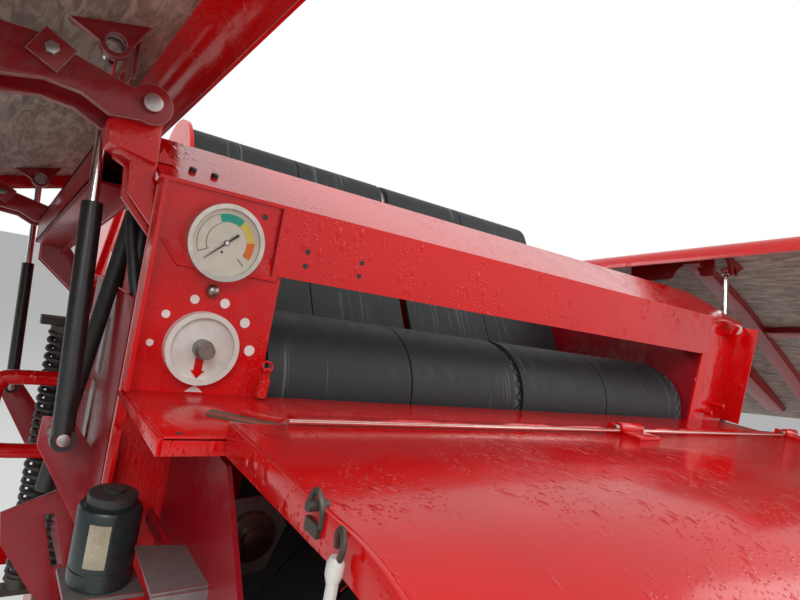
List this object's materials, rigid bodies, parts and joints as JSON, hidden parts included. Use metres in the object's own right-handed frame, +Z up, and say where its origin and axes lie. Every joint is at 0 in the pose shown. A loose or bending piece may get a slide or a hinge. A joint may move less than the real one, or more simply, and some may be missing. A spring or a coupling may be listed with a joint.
{
  "type": "round baler",
  "caption": "Trailed variable-chamber round baler with flat belts, tined pick-up and both gullwing side doors open, parked on its drawbar jack.",
  "frame": {"origin": "middle of the bounding box at floor level, on the machine's plane of symmetry", "axes": "-Y towards the drawbar and the towing vehicle, +X to the viewer's right when looking at the front, +Z up"},
  "size_m": [4.075, 4.375, 2.6388],
  "materials": {
    "red_paint": "gloss",
    "dark_red_paint": "satin",
    "belt_rubber": "matte",
    "tyre": "matte",
    "steel": "satin",
    "cast": "matte",
    "black_paint": "satin",
    "chrome": "polished",
    "door_skin": "gloss",
    "cream": "gloss",
    "white_plastic": "matte",
    "black_rubber": "matte",
    "bottle": "matte",
    "lamp_red": "gloss",
    "net": "matte"
  },
  "bodies": {
    "machine": {"side_walls": "dark_red_paint", "crossbeam": "red_paint", "gauge_panel": "red_paint", "right_column": "red_paint", "ledge": "red_paint", "net_box": "dark_red_paint", "net_roll": "net", "lagged_roller": "black_rubber", "steel_rollers": "steel", "belts_front": "belt_rubber", "gauge": "cream", "dial": "white_plastic", "front_bracing": "dark_red_paint", "gearbox": "cast", "chain_drive": "cast", "chassis": "dark_red_paint", "drawbar": "red_paint", "hitch_eye": "steel", "jack_tube": "black_paint", "door_brackets": "red_paint", "belt_springs": "black_paint", "hoses": "black_rubber", "oil_bottle": "bottle", "bottle_holder": "dark_red_paint", "handrail": "red_paint"},
    "jack_leg": {"jack_leg": "steel"},
    "pto_shaft": {"pto_shaft": "steel"},
    "feed_rotor": {"feed_rotor": "cast"},
    "lid": {"lid": "red_paint", "lid_catch": "steel"},
    "door_right": {"door_right": "door_skin"},
    "door_left": {"door_left": "door_skin"},
    "strut_barrels_right": {"strut_barrels_right": "black_paint"},
    "strut_barrels_left": {"strut_barrels_left": "black_paint"},
    "strut_rods_right": {"strut_rods_right": "chrome"},
    "strut_rods_left": {"strut_rods_left": "chrome"},
    "tailgate": {"tailgate_walls": "red_paint", "tailgate_frame": "red_paint", "tailgate_rollers": "steel", "belts_rear": "belt_rubber", "lamp_bar": "red_paint", "lamps": "lamp_red"},
    "cylinder_right": {"cylinder_right": "black_paint"},
    "cylinder_left": {"cylinder_left": "black_paint"},
    "piston_right": {"piston_right": "chrome"},
    "piston_left": {"piston_left": "chrome"},
    "wheel_right": {"wheel_right": "tyre"},
    "wheel_left": {"wheel_left": "tyre"},
    "pickup": {"pickup_frame": "dark_red_paint", "stripper_bands": "steel"},
    "tine_reel": {"tine_reel": "cast"},
    "gauge_wheel_right": {"gauge_wheel_right": "black_rubber"},
    "gauge_wheel_left": {"gauge_wheel_left": "black_rubber"},
    "windguard": {"windguard": "steel"}
  },
  "joints": [
    {"name": "wheel_right_spin", "type": "hinge", "parent": "machine", "child": "wheel_right", "pos_m": [0.975, 1.3475, 0.465], "axis": [1, 0, 0], "continuous": true},
    {"name": "wheel_left_spin", "type": "hinge", "parent": "machine", "child": "wheel_left", "pos_m": [-0.975, 1.3475, 0.465], "axis": [1, 0, 0], "continuous": true},
    {"name": "jack_slide", "type": "slide", "parent": "machine", "child": "jack_leg", "axis": [0, 0, 1], "range_m": [0, 0.4]},
    {"name": "power_shaft_spin", "type": "hinge", "parent": "machine", "child": "pto_shaft", "pos_m": [0, 0.0175, 1.09], "axis": [0, 1, 0], "continuous": true},
    {"name": "feed_rotor_spin", "type": "hinge", "parent": "machine", "child": "feed_rotor", "pos_m": [0, 0.4575, 0.64], "axis": [1, 0, 0], "continuous": true},
    {"name": "lid_hinge", "type": "hinge", "parent": "machine", "child": "lid", "pos_m": [0, 0.0605, 2.056], "axis": [-1, 0, 0], "range_deg": [0, 70]},
    {"name": "door_right_hinge", "type": "hinge", "parent": "machine", "child": "door_right", "pos_m": [0.806, 0.3175, 2.375], "axis": [0, 0.9839, -0.1788], "range_deg": [0, 69]},
    {"name": "door_left_hinge", "type": "hinge", "parent": "machine", "child": "door_left", "pos_m": [-0.806, 0.3175, 2.375], "axis": [0, -0.9839, 0.1788], "range_deg": [0, 69]},
    {"name": "strut_right_swing", "type": "hinge", "parent": "machine", "child": "strut_barrels_right", "pos_m": [0.836, 0.2424, 1.96177], "axis": [0, 0.9839, -0.1788], "range_deg": [-1, 8]},
    {"name": "strut_left_swing", "type": "hinge", "parent": "machine", "child": "strut_barrels_left", "pos_m": [-0.836, 0.2424, 1.96177], "axis": [0, -0.9839, 0.1788], "range_deg": [-1, 8]},
    {"name": "strut_right_slide", "type": "slide", "parent": "strut_barrels_right", "child": "strut_rods_right", "axis": [0.0234, 0.1788, 0.9836], "range_m": [-0.1, 0.005]},
    {"name": "strut_left_slide", "type": "slide", "parent": "strut_barrels_left", "child": "strut_rods_left", "axis": [-0.0234, 0.1788, 0.9836], "range_m": [-0.1, 0.005]},
    {"name": "tailgate_hinge", "type": "hinge", "parent": "machine", "child": "tailgate", "pos_m": [0, 1.2475, 2.44], "axis": [1, 0, 0], "range_deg": [0, 62]},
    {"name": "cylinder_right_swing", "type": "hinge", "parent": "machine", "child": "cylinder_right", "pos_m": [0.68, 1.0875, 1.1], "axis": [1, 0, 0], "range_deg": [-5, 1]},
    {"name": "cylinder_left_swing", "type": "hinge", "parent": "machine", "child": "cylinder_left", "pos_m": [-0.68, 1.0875, 1.1], "axis": [1, 0, 0], "range_deg": [-5, 1]},
    {"name": "piston_right_slide", "type": "slide", "parent": "cylinder_right", "child": "piston_right", "axis": [0, 0.3544, 0.9351], "range_m": [-0.005, 0.46]},
    {"name": "piston_left_slide", "type": "slide", "parent": "cylinder_left", "child": "piston_left", "axis": [0, 0.3544, 0.9351], "range_m": [-0.005, 0.46]},
    {"name": "pickup_lift", "type": "hinge", "parent": "machine", "child": "pickup", "pos_m": [0, 0.4575, 0.64], "axis": [-1, 0, 0], "range_deg": [0, 12]},
    {"name": "tine_reel_spin", "type": "hinge", "parent": "pickup", "child": "tine_reel", "pos_m": [0, 0.0675, 0.345], "axis": [1, 0, 0], "continuous": true},
    {"name": "gauge_wheel_right_spin", "type": "hinge", "parent": "pickup", "child": "gauge_wheel_right", "pos_m": [1.06, -0.0625, 0.164], "axis": [1, 0, 0], "continuous": true},
    {"name": "gauge_wheel_left_spin", "type": "hinge", "parent": "pickup", "child": "gauge_wheel_left", "pos_m": [-1.06, -0.0625, 0.164], "axis": [1, 0, 0], "continuous": true},
    {"name": "windguard_swing", "type": "hinge", "parent": "pickup", "child": "windguard", "pos_m": [0, 0.1175, 0.712], "axis": [-1, 0, 0], "range_deg": [0, 12]}
  ],
  "couplings": [
    {"joint": "strut_right_swing", "follows": "door_right_hinge", "ratio": 0.11245},
    {"joint": "strut_left_swing", "follows": "door_left_hinge", "ratio": 0.11245},
    {"joint": "strut_right_slide", "follows": "door_right_hinge", "m_per_rad": -0.074437},
    {"joint": "strut_left_slide", "follows": "door_left_hinge", "m_per_rad": -0.074437},
    {"joint": "cylinder_right_swing", "follows": "tailgate_hinge", "ratio": -0.054972},
    {"joint": "cylinder_left_swing", "follows": "tailgate_hinge", "ratio": -0.054972},
    {"joint": "piston_right_slide", "follows": "tailgate_hinge", "m_per_rad": 0.41181},
    {"joint": "piston_left_slide", "follows": "tailgate_hinge", "m_per_rad": 0.41181}
  ]
}
